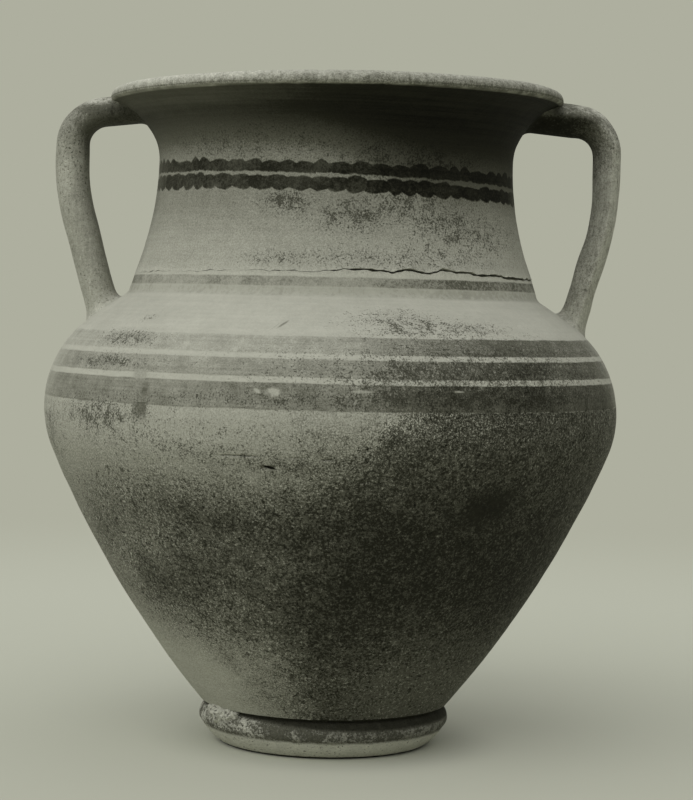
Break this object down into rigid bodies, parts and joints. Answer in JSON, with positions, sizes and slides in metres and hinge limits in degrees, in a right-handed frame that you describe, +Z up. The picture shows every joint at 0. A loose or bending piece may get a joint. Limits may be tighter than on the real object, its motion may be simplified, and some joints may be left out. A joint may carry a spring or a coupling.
{
  "type": "two-handled clay storage jar",
  "caption": "Tall clay storage jar on a ring foot, with a swelling belly, a waisted neck, a thick everted lip, strap handles from lip to shoulder, and painted bands.",
  "frame": {"origin": "on the ground, under the centre of the ring foot", "axes": "+Z up along the jar's axis; the handles lie on the X axis, left_handle at -X; the painted front of the picture faces -Y"},
  "size_m": [0.4381, 0.4378, 0.5],
  "materials": {
    "clay": "matt fired clay with worn painted bands and a dark soil deposit",
    "luting_clay": "matt fired clay, wiped by hand"
  },
  "bodies": {
    "root": {"foot_ring": "clay", "floor_disc": "clay", "lower_wall": "clay", "upper_wall": "clay", "neck": "clay", "lip": "clay", "left_handle": "clay", "right_handle": "clay", "floor_seam_coil": "luting_clay", "belly_seam_coil": "luting_clay", "neck_seam_coil": "luting_clay", "foot_seam_lump": "luting_clay", "left_root_coil": "luting_clay", "right_root_coil": "luting_clay"}
  },
  "joints": []
}
